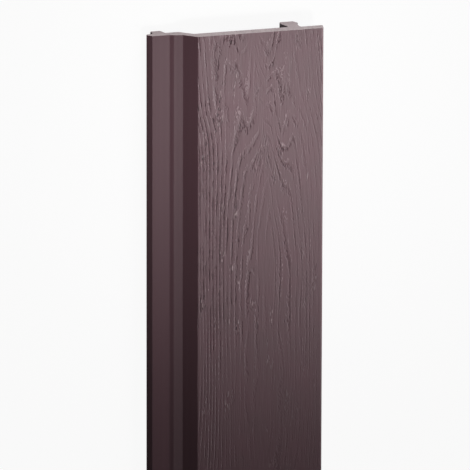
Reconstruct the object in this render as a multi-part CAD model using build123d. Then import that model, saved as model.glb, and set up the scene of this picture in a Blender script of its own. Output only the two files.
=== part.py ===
from build123d import *
from math import hypot
import os

# Composite cladding board, extruded in one piece and cut square to length.
# It lies with its embossed face up: X runs across the board, Y along it, Z up from its back.
# The origin is under the middle of the board, level with the two ridges that it rests on.
# All sizes are in millimetres.

# Whole board
board_length = 2200.0
board_depth = 18.0

# Embossed plate, the part of the face that stays in view on the wall
face_width = 116.0
plate_thickness = 7.0
face_corner_radius = 2.0

# Free edge of the plate, which laps over the flange of the next board
lap_thickness = 6.0
lap_front_radius = 1.6
lap_back_radius = 1.0

# Slanted wall of the shadow gap, from the embossed plate down to the land
wall_run = 13.0
wall_drop = 6.1
wall_thickness = 5.0
wall_foot_radius = 1.6
wall_back_low_radius = 3.0
wall_back_high_radius = 8.0

# Land at the foot of the wall, the floor of the shadow gap, which falls a little towards the flange
land_width = 8.4
land_fall = 1.1
land_corner_radius = 1.0

# Sloped step from the land down to the fixing flange
step_run = 3.8
step_drop = 1.0
step_foot_radius = 1.0

# Fixing flange, screwed through to the battens and covered by the free edge of the next board
flange_width = 15.9
flange_thickness = 4.9
flange_edge_radius = 1.2

# Nose along the flange, which slips under the next board
nose_run = 4.9
nose_drop = 2.8
nose_tip_thickness = 1.4
nose_tip_radius = 0.5

# Foot behind the nose, the first of the two ridges that the board rests on
foot_setback = 4.4
foot_width = 9.0
foot_flare = 4.2
foot_edge_radius = 0.8
foot_flare_radius = 1.5

# Notch between the nose and the foot, which takes the nib of the next board's hook
notch_depth = 1.4
notch_height = 3.1
notch_lip = 1.9
notch_radius = 0.4

# Hook on the back of the plate, the second ridge, measured from the plate's free edge
hook_root_inset = 20.8
hook_root_width = 10.2
hook_root_radius = 0.8
hook_lap_radius = 2.5

# Barb of the hook, a wedge that points towards the flange
barb_reach = 7.3
barb_tip_height = 2.2
barb_tip_rake = 0.5
barb_radius = 0.4

# Nib of the hook, a short nose that points towards the free edge
nib_setback = 0.8
nib_height = 3.8
nib_chamfer = 4.0
nib_undercut = 1.2
nib_undercut_height = 6.1
nib_radius = 0.5
hook_head_radius = 1.2

# Places across the board, worked out from its middle
overall_width = face_width + wall_run + land_width + step_run + flange_width + nose_run
free_edge_x = overall_width / 2
face_left_x = free_edge_x - face_width
wall_foot_x = face_left_x - wall_run
land_left_x = wall_foot_x - land_width
step_foot_x = land_left_x - step_run
flange_left_x = step_foot_x - flange_width
nose_tip_x = flange_left_x - nose_run

# Heights above the floor
plate_back_z = board_depth - plate_thickness
lap_back_z = board_depth - lap_thickness
land_z = board_depth - wall_drop
step_top_z = land_z - land_fall
flange_z = step_top_z - step_drop
flange_back_z = flange_z - flange_thickness
nose_tip_z = flange_z - nose_drop


def wall_back_x(height):
    """Place of the wall's back at a height: its front, moved square to it by the wall's thickness."""
    front_x = face_left_x - (board_depth - height) * wall_run / wall_drop
    return front_x + wall_thickness * hypot(wall_run, wall_drop) / wall_drop


def face_corners():
    """Corners of the front, from the free edge to the nose, each with its radius."""
    return [
        ((free_edge_x, lap_back_z), lap_back_radius),
        ((free_edge_x, board_depth), lap_front_radius),
        ((face_left_x, board_depth), face_corner_radius),
        ((wall_foot_x, land_z), wall_foot_radius),
        ((land_left_x, step_top_z), land_corner_radius),
        ((step_foot_x, flange_z), step_foot_radius),
        ((flange_left_x, flange_z), flange_edge_radius),
        ((nose_tip_x, nose_tip_z), nose_tip_radius),
        ((nose_tip_x, nose_tip_z - nose_tip_thickness), nose_tip_radius),
    ]


def foot_corners():
    """Corners of the notch, the foot and the backs of flange and wall, from the nose on."""
    foot_x = nose_tip_x + foot_setback
    notch_x = foot_x + notch_depth
    foot_inner_x = foot_x + foot_width
    return [
        ((notch_x, notch_lip + notch_height), notch_radius),
        ((notch_x, notch_lip), notch_radius),
        ((foot_x, notch_lip), notch_radius),
        ((foot_x, 0), foot_edge_radius),
        ((foot_inner_x, 0), foot_flare_radius),
        ((foot_inner_x + foot_flare, flange_back_z), foot_flare_radius),
        ((wall_back_x(flange_back_z), flange_back_z), wall_back_low_radius),
        ((wall_back_x(plate_back_z), plate_back_z), wall_back_high_radius),
    ]


def hook_corners():
    """Corners of the hook, from its barb round its head and nib to the back of the free edge."""
    root_right_x = free_edge_x - hook_root_inset
    root_left_x = root_right_x - hook_root_width
    barb_x = root_left_x - barb_reach
    nib_x = root_right_x - nib_setback
    return [
        ((root_left_x, plate_back_z), hook_root_radius),
        ((barb_x, barb_tip_height), barb_radius),
        ((barb_x + barb_tip_rake, 0), barb_radius),
        ((nib_x - nib_chamfer, 0), hook_head_radius),
        ((nib_x, nib_height), nib_radius),
        ((nib_x - nib_undercut, nib_undercut_height), nib_radius),
        ((root_right_x, lap_back_z), hook_lap_radius),
    ]


def board_section():
    """Closed section of the board, square to its length."""
    corners = face_corners() + foot_corners() + hook_corners()
    with BuildSketch(Plane.XZ) as section:
        with BuildLine():
            FilletPolyline(
                [point for point, radius in corners],
                radius=[radius for point, radius in corners],
                close=True,
            )
        make_face()
    return section.sketch


def cladding_board():
    """The board, extruded half its length each way from the middle."""
    return extrude(board_section(), amount=board_length / 2, both=True)


os.makedirs("parts", exist_ok=True)
export_step(cladding_board(), "parts/cladding_board.step")
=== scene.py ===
from functools import partial
from math import pi, radians, tan

import bmesh
import bpy
from mathutils import Matrix, Vector


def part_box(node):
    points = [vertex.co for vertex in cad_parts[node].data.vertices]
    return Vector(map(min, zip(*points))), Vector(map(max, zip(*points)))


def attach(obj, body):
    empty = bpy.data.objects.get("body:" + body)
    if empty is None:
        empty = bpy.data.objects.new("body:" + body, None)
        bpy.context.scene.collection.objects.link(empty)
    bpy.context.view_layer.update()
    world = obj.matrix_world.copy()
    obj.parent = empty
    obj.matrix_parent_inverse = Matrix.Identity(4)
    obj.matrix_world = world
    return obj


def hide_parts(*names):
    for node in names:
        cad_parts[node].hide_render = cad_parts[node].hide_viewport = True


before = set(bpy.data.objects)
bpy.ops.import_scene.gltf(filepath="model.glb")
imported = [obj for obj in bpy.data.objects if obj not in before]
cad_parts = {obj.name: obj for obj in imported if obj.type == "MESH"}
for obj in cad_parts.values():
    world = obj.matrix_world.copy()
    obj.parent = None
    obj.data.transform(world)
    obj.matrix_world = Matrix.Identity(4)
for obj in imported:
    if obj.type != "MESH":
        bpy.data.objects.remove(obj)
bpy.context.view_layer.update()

# Form of the board
# The board is one piece of wood-plastic composite, which is wood flour and pigment in a plastic, extruded
# through one die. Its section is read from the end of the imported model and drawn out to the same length:
# in long plain strips at the back and the edges, and in a fine grid on the front, where the grain goes.
board_low, board_high = (Vector(corner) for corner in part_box("cladding_board"))
cut_end_y = board_high.y
board_length = board_high.y - board_low.y
front_z = board_high.z
front_corner_drop = 0.0019
column_spacing = 0.0006
near_row_spacing = 0.0030
far_row_spacing = 0.0062
near_length = 0.46
spacing_growth = 1.02
plain_row_count = 12
tolerance = 1e-6
end_tolerance = 1e-5
smooth_angle = radians(35)
SKIN, EMBOSSED, SAWN = 0, 1, 2


def end_outline(node):
    """Corners (x, z) of the section, in order round the cut end."""
    solid = bmesh.new()
    solid.from_mesh(node.data)
    bmesh.ops.remove_doubles(solid, verts=solid.verts, dist=tolerance)
    at_end = {vert for vert in solid.verts if abs(vert.co.y - cut_end_y) < end_tolerance}
    cap = {face for face in solid.faces if at_end.issuperset(face.verts)}
    following = {}
    for loop in (loop for face in cap for loop in face.loops):
        if not all(face in cap for face in loop.edge.link_faces):
            following[loop.vert] = loop.link_loop_next.vert
    walk = [next(iter(following))]
    while following[walk[-1]] != walk[0]:
        walk.append(following[walk[-1]])
    points = [(vert.co.x, vert.co.z) for vert in walk]
    solid.free()
    return points


def front_and_rest(points):
    """Splits the section into its embossed front, rounded edges included, and the rest, ends shared."""
    left_x = min(x for x, z in points if z > front_z - tolerance) - front_corner_drop / 2
    on_front = [z > front_z - front_corner_drop and x > left_x for x, z in points]
    start = next(i for i in range(len(points)) if on_front[i] and not on_front[i - 1])
    turned = points[start:] + points[:start]
    count = sum(on_front)
    return turned[:count], turned[count - 1:] + turned[:1]


def with_columns(points):
    """A run of points with its long straight stretches divided into columns."""
    divided = points[:1]
    for (x0, z0), (x1, z1) in zip(points, points[1:]):
        count = max(1, round((Vector((x1, z1)) - Vector((x0, z0))).length / column_spacing))
        divided += [(x0 + (x1 - x0) * i / count, z0 + (z1 - z0) * i / count) for i in range(1, count + 1)]
    return divided


def graded_rows():
    """Places along the board, close together near the cut end and wider apart further on."""
    rows = [cut_end_y]
    spacing = near_row_spacing
    while rows[-1] - 1.5 * spacing > board_low.y:
        rows.append(rows[-1] - spacing)
        if cut_end_y - rows[-1] > near_length:
            spacing = min(spacing * spacing_growth, far_row_spacing)
    return rows + [board_low.y]


def fill_strips(form, columns, material):
    """Fills the strips between neighbouring columns that have the same rows."""
    for one, other in zip(columns, columns[1:]):
        for i in range(len(one) - 1):
            face = form.faces.new((one[i], other[i], other[i + 1], one[i + 1]))
            face.material_index = material


def zip_strip(form, fine, coarse, material):
    """Fills the strip between two columns whose rows are spaced differently, with triangles."""
    i = j = 0
    while i + j < len(fine) + len(coarse) - 2:
        if j == len(coarse) - 1 or (i < len(fine) - 1 and fine[i + 1].co.y >= coarse[j + 1].co.y):
            face = form.faces.new((fine[i], fine[i + 1], coarse[j]))
            i += 1
        else:
            face = form.faces.new((fine[i], coarse[j + 1], coarse[j]))
            j += 1
        face.material_index = material


front_points, plain_points = front_and_rest(end_outline(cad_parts["cladding_board"]))
fine_rows = graded_rows()
plain_rows = [cut_end_y - board_length * i / (plain_row_count - 1) for i in range(plain_row_count)]
form = bmesh.new()
front = [[form.verts.new((x, y, z)) for y in fine_rows] for x, z in with_columns(front_points)]
plain = [[form.verts.new((x, y, z)) for y in plain_rows] for x, z in plain_points[1:-1]]
fill_strips(form, front, EMBOSSED)
fill_strips(form, plain, SKIN)
zip_strip(form, front[-1], plain[0], SKIN)
zip_strip(form, front[0], plain[-1], SKIN)
for end in (0, -1):
    form.faces.new([column[end] for column in front + plain]).material_index = SAWN
bmesh.ops.recalc_face_normals(form, faces=form.faces)
board_mesh = bpy.data.meshes.new("composite_cladding_board")
form.to_mesh(board_mesh)
form.free()
board = bpy.data.objects.new("composite_cladding_board", board_mesh)
bpy.context.scene.collection.objects.link(board)

# Grain of the front
# A patterned roller presses the grain of a flat-sawn plank into the plastic while it is still soft: broken
# growth rings, straight along the edges and arched over the pith line, each with a low lip beside it. The
# same nodes press the mesh here and colour and bump its surface further on.
mm_per_metre = 1000
face_left_mm = mm_per_metre * min(x for x, z in front_points)
face_width_mm = mm_per_metre * board_high.x - face_left_mm
# Each curve's points hold a share of the board's length from its cut end, or of the front's width for the
# pressure across it, and a value there. The pith line and the arches are shares of the span.
curve_span_mm = 100
pith_line = ((0, 0.50), (0.03, 0.56), (0.06, 0.65), (0.10, 0.66), (0.16, 0.66), (0.22, 0.62), (0.42, 0.36),
             (0.62, 0.52), (0.82, 0.66), (1, 0.50))
arch_reach = ((0, 0.44), (0.04, 0.30), (0.07, 0.15), (0.105, 0.06), (0.13, 0.04), (0.17, 0.04), (0.21, 0.08),
              (0.33, 0.60), (0.48, 0.42), (0.60, 0.20), (0.72, 0.54), (0.86, 0.76), (1, 0.52))
pressure_along = ((0, 1), (0.05, 1), (0.12, 1), (0.15, 0.60), (0.18, 0.38), (0.21, 0.41),
                  (0.27, 0.85), (0.5, 0.7), (0.6, 1), (0.8, 0.6), (1, 0.55))
pressure_across = ((0, 1), (0.2, 1), (0.3, 0.85), (0.38, 0.65), (0.5, 0.4), (0.64, 0.75), (0.76, 0.36),
                   (1, 0.3))
arch_half_width_mm = 30
sway_mm = 5
waves_mm = 2
lobes_mm = 16
rings_per_mm_at_pith = 0.085
more_rings_per_mm = 0.0024
uneven_rings = 1.1
tick_shift = 0.5
groove_sharpness = 2.5
ring_section = ((0, 0), (0.46, 0), (0.72, 1), (0.82, 0.8), (0.97, 0))
lip_section = ((0, 0.7), (0.12, 0), (0.84, 0), (0.94, 1), (1, 0.7))
# Each noise has the real size of its cells across and along the board, in millimetres, and its detail. Real
# fibres and pores are finer, and are drawn as coarse as they need to be to show.
grain_noises = {
    "sway": (48, 230, 1),
    "waves": (12, 70, 1),
    "lobes": (15, 85, 1),
    "ring_widths": (10, 700, 1),
    "marked": (20, 95, 1),
    "breaks": (3.0, 16, 2),
    "pores": (1.1, 5, 1),
    "fibres": (0.95, 18, 2),
    "flecks_and_painted_highlight": (1.1, 6, 1),
    "ticks": (1.8, 3, 1),
    "clouds": (18, 30, 2),
    "chains": (8, 36, 1),
}
grain_seed = 11.7
valley_depth = 0.00013


def add_node(tree, kind, inputs=None, **settings):
    """Adds a node with its settings and the values or links of its inputs, and returns its first output."""
    node = tree.nodes.new(kind)
    for name, value in settings.items():
        setattr(node, name, value)
    for name, value in (inputs or {}).items():
        if isinstance(value, bpy.types.NodeSocket):
            tree.links.new(value, node.inputs[name])
        else:
            node.inputs[name].default_value = value
    return node.outputs[0] if node.outputs else node


def draw_curve(socket, points):
    """Draws the curve of the node that a socket comes from, through given points."""
    curve = socket.node.mapping.curves[0]
    for spare in points[2:]:
        curve.points.new(*spare)
    for handle, point in zip(curve.points, points):
        handle.location = point
    socket.node.mapping.update()
    return socket


def grain(tree, place):
    """The grain at a place in metres: how strong each of its marks is there, from 0 to about 1."""
    add = partial(add_node, tree)
    axes = add("ShaderNodeSeparateXYZ", {0: place}).node.outputs
    across = add("ShaderNodeMath", {0: axes["X"], 1: mm_per_metre, 2: -face_left_mm},
                 operation="MULTIPLY_ADD")
    along = add("ShaderNodeMath", {0: axes["Y"], 1: -mm_per_metre, 2: mm_per_metre * cut_end_y},
                operation="MULTIPLY_ADD")
    length_share = add("ShaderNodeMath", {0: along, 1: 1 / mm_per_metre / board_length},
                       operation="MULTIPLY")
    flat = add("ShaderNodeCombineXYZ", {"X": across, "Y": along})
    noise = {}
    for layer, (name, (width_mm, length_mm, detail)) in enumerate(grain_noises.items()):
        cell_scale = (1 / width_mm, 1 / length_mm, 0)
        cells = add("ShaderNodeVectorMath", {0: flat, 1: cell_scale, 2: (0, 0, layer + grain_seed)},
                    operation="MULTIPLY_ADD")
        noise[name] = add("ShaderNodeTexNoise", {"Vector": cells, "Scale": 1, "Detail": detail})
    curve = {}
    width_share = add("ShaderNodeMath", {0: across, 1: 1 / face_width_mm}, operation="MULTIPLY")
    for name, share, points in (
        ("pith", length_share, pith_line),
        ("reach", length_share, arch_reach),
        ("along", length_share, pressure_along),
        ("across", width_share, pressure_across),
    ):
        curve[name] = draw_curve(add("ShaderNodeFloatCurve", {"Value": share}), points)
    pressure = add("ShaderNodeMath", {0: curve["along"], 1: curve["across"]}, operation="MULTIPLY")

    swayed = add("ShaderNodeMath", {0: noise["sway"], 1: sway_mm, 2: across}, operation="MULTIPLY_ADD")
    wavy = add("ShaderNodeMath", {0: noise["waves"], 1: waves_mm, 2: swayed}, operation="MULTIPLY_ADD")
    centred = add("ShaderNodeMath", {0: wavy, 1: (sway_mm + waves_mm) / 2}, operation="SUBTRACT")
    side = add("ShaderNodeMath", {0: curve["pith"], 1: -curve_span_mm, 2: centred}, operation="MULTIPLY_ADD")
    aside = add("ShaderNodeMath", {0: side}, operation="ABSOLUTE")
    squared = add("ShaderNodeMath", {0: side, 1: side}, operation="MULTIPLY")
    spread = add("ShaderNodeMath", {0: squared, 1: -1 / arch_half_width_mm ** 2}, operation="MULTIPLY")
    bell = add("ShaderNodeMath", {0: spread}, operation="EXPONENT")
    reach = add("ShaderNodeMath", {0: curve["reach"], 1: curve_span_mm, 2: -lobes_mm / 2},
                operation="MULTIPLY_ADD")
    lobed = add("ShaderNodeMath", {0: noise["lobes"], 1: lobes_mm, 2: reach}, operation="MULTIPLY_ADD")
    radius = add("ShaderNodeMath", {0: lobed, 1: bell, 2: aside}, operation="MULTIPLY_ADD")
    per_mm = add("ShaderNodeMath", {0: radius, 1: more_rings_per_mm, 2: rings_per_mm_at_pith},
                 operation="MULTIPLY_ADD")
    even = add("ShaderNodeMath", {0: radius, 1: per_mm}, operation="MULTIPLY")
    uneven = add("ShaderNodeMath", {0: noise["ring_widths"], 1: uneven_rings, 2: even},
                 operation="MULTIPLY_ADD")
    rings = add("ShaderNodeMath", {0: noise["ticks"], 1: tick_shift, 2: uneven}, operation="MULTIPLY_ADD")
    phase = add("ShaderNodeMath", {0: rings}, operation="FRACT")
    section = draw_curve(add("ShaderNodeFloatCurve", {"Value": phase}), ring_section)
    bottom = add("ShaderNodeMath", {0: section, 1: groove_sharpness}, operation="POWER")
    lip = draw_curve(add("ShaderNodeFloatCurve", {"Value": phase}), lip_section)

    mask = {}
    for name, value, low, high, floor in (
        ("limbs", aside, 3, 14, 0.3),
        ("marked", noise["marked"], 0.34, 0.56, 0.3),
        ("breaks", noise["breaks"], 0.4, 0.55, 0.15),
        ("ticks", noise["ticks"], 0.4, 0.56, 0.1),
        ("between_ticks", noise["ticks"], 0.6, 0.4, 0.1),
        ("chains", noise["chains"], 0.6, 0.72, 0),
        ("pores", noise["pores"], 0.52, 0.66, 0),
        ("flecks_and_painted_highlight", noise["flecks_and_painted_highlight"], 0.56, 0.7, 0),
    ):
        span = {"From Min": low, "From Max": high, "To Min": floor}
        mask[name] = add("ShaderNodeMapRange", {"Value": value} | span, interpolation_type="SMOOTHSTEP")
    # The flecks keep beside the rings, where their pale colour is partly a painted highlight on the relief.
    beside_ring = add("ShaderNodeMapRange", {"Value": section, "From Min": 0.9, "From Max": 0.5,
                                             "To Min": 0.1})
    marks = {}
    for name, layers in (
        ("valleys", (section, mask["limbs"], mask["marked"], pressure, mask["breaks"])),
        ("grooves_and_painted_shade", (bottom, mask["limbs"], mask["marked"], pressure, mask["breaks"], mask["ticks"])),
        ("lips_and_painted_highlight", (lip, mask["limbs"], mask["marked"], pressure, mask["breaks"], mask["between_ticks"])),
        ("pores", (mask["pores"], mask["chains"], pressure)),
        ("flecks_and_painted_highlight", (mask["flecks_and_painted_highlight"], mask["chains"], pressure, beside_ring)),
    ):
        marks[name] = layers[0]
        for layer in layers[1:]:
            marks[name] = add("ShaderNodeMath", {0: marks[name], 1: layer}, operation="MULTIPLY")
    return marks | {"fibres": noise["fibres"], "clouds": noise["clouds"]}


pressing = bpy.data.node_groups.new("roller_pressing", "GeometryNodeTree")
pressing.interface.new_socket("Geometry", in_out="INPUT", socket_type="NodeSocketGeometry")
pressing.interface.new_socket("Geometry", in_out="OUTPUT", socket_type="NodeSocketGeometry")
place = add_node(pressing, "GeometryNodeInputPosition")
height = add_node(pressing, "ShaderNodeSeparateXYZ", {0: place}).node.outputs["Z"]
on_front = add_node(pressing, "FunctionNodeCompare", {0: height, 1: front_z - tolerance},
                    operation="GREATER_THAN")
valleys = grain(pressing, place)["valleys"]
sunk = add_node(pressing, "ShaderNodeMath", {0: valleys, 1: -valley_depth}, operation="MULTIPLY")
pressed = add_node(pressing, "GeometryNodeSetPosition", {
    "Geometry": add_node(pressing, "NodeGroupInput"),
    "Selection": on_front,
    "Offset": add_node(pressing, "ShaderNodeCombineXYZ", {"Z": sunk}),
})
add_node(pressing, "NodeGroupOutput", {0: pressed})
board.modifiers.new("pressing", "NODES").node_group = pressing
pressed_mesh = bpy.data.meshes.new_from_object(board.evaluated_get(bpy.context.evaluated_depsgraph_get()))
board.modifiers.clear()
board.data = pressed_mesh
board.data.shade_smooth()
board.data.set_sharp_from_angle(angle=smooth_angle)

# Material of the embossed front
# Brushed wood-plastic composite: the roller leaves it dull, with the plastic skin broken by the brush, so it
# scatters a broad grey sheen over the brown. Its grooves are coloured darker as painted shade, the lips
# beside them paler as a painted highlight, and its pale flecks are partly wood fibres and partly a painted
# highlight.


def linear(hex_colour):
    """A colour written as sRGB hex, as the linear value that a socket takes."""
    channels = [int(hex_colour[i:i + 2], 16) / 255 for i in (1, 3, 5)]
    return [c / 12.92 if c <= 0.04045 else ((c + 0.055) / 1.055) ** 2.4 for c in channels] + [1]


def new_material(name):
    """An empty node material, with its principled shader already joined to its output."""
    material = bpy.data.materials.new(name)
    material.use_nodes = True
    material.node_tree.nodes.clear()
    shader = add_node(material.node_tree, "ShaderNodeBsdfPrincipled")
    add_node(material.node_tree, "ShaderNodeOutputMaterial", {"Surface": shader})
    return material, material.node_tree, shader.node


composite_ior = 1.45
fibre_relief = 0.6
relief_height = 0.00018
least_roughness = 0.375
more_roughness_on_fibres = 0.25
brushed, tree, shader = new_material("brushed_wood_plastic")
add = partial(add_node, tree)
pattern = grain(tree, add("ShaderNodeTexCoord").node.outputs["Object"])
colour = linear("#6d4a53")
for layer, hex_colour in (
    ("clouds", "#5d4c4e"),
    ("fibres", "#6d5158"),
    # painted shade: the grooves are coloured darker, standing in for the shade that falls in them
    ("grooves_and_painted_shade", "#503a40"),
    # painted highlight: the lips beside the grooves are coloured paler, standing in for light caught on them
    ("lips_and_painted_highlight", "#917a7f"),
    ("pores", "#3f2c31"),
    # pale wood fibres and a painted highlight: the flecks beside the rings are coloured pale, partly for
    # light caught on the relief
    ("flecks_and_painted_highlight", "#ab9699"),
):
    mixed = add("ShaderNodeMix", {0: pattern[layer], 6: colour, 7: linear(hex_colour)}, data_type="RGBA")
    colour = mixed.node.outputs[2]
tree.links.new(colour, shader.inputs["Base Color"])
rough = add("ShaderNodeMath", {0: pattern["fibres"], 1: more_roughness_on_fibres, 2: least_roughness},
            operation="MULTIPLY_ADD")
tree.links.new(rough, shader.inputs["Roughness"])
relief = add("ShaderNodeMath", {0: pattern["fibres"], 1: fibre_relief}, operation="MULTIPLY")
for layer, depth in (("grooves_and_painted_shade", -3.3), ("lips_and_painted_highlight", 1.65), ("pores", -1.8), ("flecks_and_painted_highlight", 1.7)):
    relief = add("ShaderNodeMath", {0: pattern[layer], 1: depth, 2: relief}, operation="MULTIPLY_ADD")
bump = add("ShaderNodeBump", {"Strength": 1, "Distance": relief_height, "Height": relief})
tree.links.new(bump, shader.inputs["Normal"])
shader.inputs["IOR"].default_value = composite_ior

# Material of the smooth skin
# The same composite as it left the die: closed and smooth, darker than the brushed front, with faint lines
# along the board from the die, which are drawn coarser than the real ones so that they show.
line_width_mm = 1.6
line_length_mm = 400
line_height = 0.00003
skin_roughness = 0.3
extruded, tree, shader = new_material("extruded_wood_plastic")
place = add_node(tree, "ShaderNodeTexCoord").node.outputs["Object"]
line_scale = [mm_per_metre / mm for mm in (line_width_mm, line_length_mm, line_width_mm)]
drawn = add_node(tree, "ShaderNodeVectorMath", {0: place, 1: line_scale}, operation="MULTIPLY")
lines = add_node(tree, "ShaderNodeTexNoise", {"Vector": drawn, "Scale": 1, "Detail": 2})
mixed = add_node(tree, "ShaderNodeMix", {0: lines, 6: linear("#573b42"), 7: linear("#5f434a")},
                 data_type="RGBA")
tree.links.new(mixed.node.outputs[2], shader.inputs["Base Color"])
shader.inputs["Roughness"].default_value = skin_roughness
bump = add_node(tree, "ShaderNodeBump", {"Strength": 1, "Distance": line_height, "Height": lines})
tree.links.new(bump, shader.inputs["Normal"])
shader.inputs["IOR"].default_value = composite_ior

# Material of the sawn ends
# The same composite cut through by a saw: the wood flour lies open, so it is much paler and quite matt, with
# the grit of the flour, which is drawn coarser than the real one so that it shows.
grit_mm = 0.7
grit_height = 0.00008
sawn_roughness = 0.85
sawn, tree, shader = new_material("sawn_wood_plastic")
place = add_node(tree, "ShaderNodeTexCoord").node.outputs["Object"]
grit = add_node(tree, "ShaderNodeTexNoise", {"Vector": place, "Scale": mm_per_metre / grit_mm, "Detail": 3})
mixed = add_node(tree, "ShaderNodeMix", {0: grit, 6: linear("#94888a"), 7: linear("#afa2a3")},
                 data_type="RGBA")
tree.links.new(mixed.node.outputs[2], shader.inputs["Base Color"])
shader.inputs["Roughness"].default_value = sawn_roughness
bump = add_node(tree, "ShaderNodeBump", {"Strength": 1, "Distance": grit_height, "Height": grit})
tree.links.new(bump, shader.inputs["Normal"])

# The materials go on in the order of their numbers: skin, embossed, sawn.
for material in (extruded, brushed, sawn):
    board.data.materials.append(material)
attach(board, "root")
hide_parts("cladding_board")

# Floor
# A plain matt floor under the board. The camera sees nearly all of it as plain white light, and the share
# that is left keeps the board's shadow.
floor_reach = 30
glow_share = 0.93
floor_corners = [(floor_reach * x, floor_reach * y, 0) for x, y in ((-1, -1), (1, -1), (1, 1), (-1, 1))]
floor_mesh = bpy.data.meshes.new("floor")
floor_mesh.from_pydata(floor_corners, [], [(0, 1, 2, 3)])
floor = bpy.data.objects.new("floor", floor_mesh)
bpy.context.scene.collection.objects.link(floor)
floor_paint = bpy.data.materials.new("matt_white_floor")
floor_paint.use_nodes = True
tree = floor_paint.node_tree
tree.nodes.clear()
paint = add_node(tree, "ShaderNodeBsdfDiffuse", {"Color": linear("#e8e8e8")})
glow = add_node(tree, "ShaderNodeEmission", {"Color": linear("#ffffff"), "Strength": 1})
path = add_node(tree, "ShaderNodeLightPath").node.outputs
seen = path["Is Camera Ray"]
for kind in ("Is Glossy Ray", "Is Transmission Ray"):
    seen = add_node(tree, "ShaderNodeMath", {0: seen, 1: path[kind]}, operation="MAXIMUM")
share = add_node(tree, "ShaderNodeMath", {0: seen, 1: glow_share}, operation="MULTIPLY")
surface = add_node(tree, "ShaderNodeMixShader", {0: share, 1: paint, 2: glow})
add_node(tree, "ShaderNodeOutputMaterial", {"Surface": surface})
floor_mesh.materials.append(floor_paint)

# Light
# Soft lamps stand to the right of the board and beyond its cut end, and their light fades along it as in the
# photograph. Weak ones give the land, the nose and the flange their sheen, and others keep the far end and
# the left side in view, in a room of soft grey light.
air_level = 0.073
lamp_distance = 2.0
lamp_radius = 0.2
room = bpy.data.worlds.new("room")
bpy.context.scene.world = room
room.use_nodes = True
room.node_tree.nodes.clear()
air = add_node(room.node_tree, "ShaderNodeBackground", {"Color": linear("#ffffff"), "Strength": air_level})
add_node(room.node_tree, "ShaderNodeOutputWorld", {"Surface": air})


def add_lamp(name, towards, aim_y, reach, level):
    """A soft lamp aimed at a place along the board, whose light fades out at its reach along the board.

    At level 1 a surface square to it shows its colour as it is written.
    """
    aim = Vector((0, aim_y, 0))
    place = aim + lamp_distance * Vector(towards).normalized()
    data = bpy.data.lights.new(name, "SPOT")
    data.shadow_soft_size = lamp_radius
    data.spot_size = 2 * (aim - place).angle(aim - Vector((0, reach, 0)) - place)
    data.spot_blend = 1
    data.energy = level * (2 * pi * lamp_distance) ** 2
    lamp = bpy.data.objects.new(name, data)
    lamp.location = place
    lamp.rotation_euler = (aim - place).to_track_quat("-Z", "Y").to_euler()
    bpy.context.scene.collection.objects.link(lamp)


add_lamp("side_lamp", (0.72, -0.45, 0.50), 1.05, 0.67, 0.31)
add_lamp("high_lamp", (0.45, -0.45, 0.77), 1.08, 0.30, 0.93)
add_lamp("end_lamp", (0.45, 0.87, 0.20), 1.05, 0.50, 1.69)
add_lamp("land_lamp", (-0.08, -0.46, 0.88), 1.08, 0.32, 0.052)
add_lamp("lower_land_lamp", (-0.08, -0.46, 0.88), 0.62, 0.30, 0.013)
add_lamp("nose_lamp", (-0.64, -0.46, 0.62), 1.08, 0.32, 0.006)
add_lamp("flange_lamp", (0.15, -0.46, 0.88), 1.10, 0.22, 0.025)
add_lamp("middle_lamp", (0.60, 0, 0.66), 0.10, 0.50, 0.36)
add_lamp("far_side_lamp", (0.60, 0, 0.66), -0.65, 0.85, 0.50)
add_lamp("far_end_lamp", (0.45, -0.87, 0.30), -1.05, 0.50, 0.7)
add_lamp("far_left_lamp", (-0.85, 0, 0.40), -0.45, 0.95, 0.3)

# Camera
# It stands where the photograph was taken from: far off, above the face, a little beyond the cut end and to
# the left, with the board's length upright in the picture.
picture_px = 470
px_per_metre = 1097
plate_corner_px = (198.3, 37.0)
plate_inset = 0.046
plate_corner = Vector((board_low.x + plate_inset, cut_end_y, front_z))
turn_left = radians(9.5)
turn_up = radians(27.2)
picture_roll = radians(0.14)
field_of_view = radians(1.5)
turn = (Matrix.Rotation(-turn_left, 3, "Y") @ Matrix.Rotation(-turn_up, 3, "X")
        @ Matrix.Rotation(picture_roll, 3, "Z"))
corner_right = (plate_corner_px[0] - picture_px / 2) / px_per_metre
corner_up = (picture_px / 2 - plate_corner_px[1]) / px_per_metre
distance = picture_px / px_per_metre / 2 / tan(field_of_view / 2)
camera_data = bpy.data.cameras.new("camera")
camera_data.angle = field_of_view
camera = bpy.data.objects.new("camera", camera_data)
camera.rotation_euler = turn.to_euler()
camera.location = plate_corner + turn @ Vector((-corner_right, -corner_up, distance))
bpy.context.scene.collection.objects.link(camera)
bpy.context.scene.camera = camera
bpy.context.scene.view_settings.view_transform = "Standard"
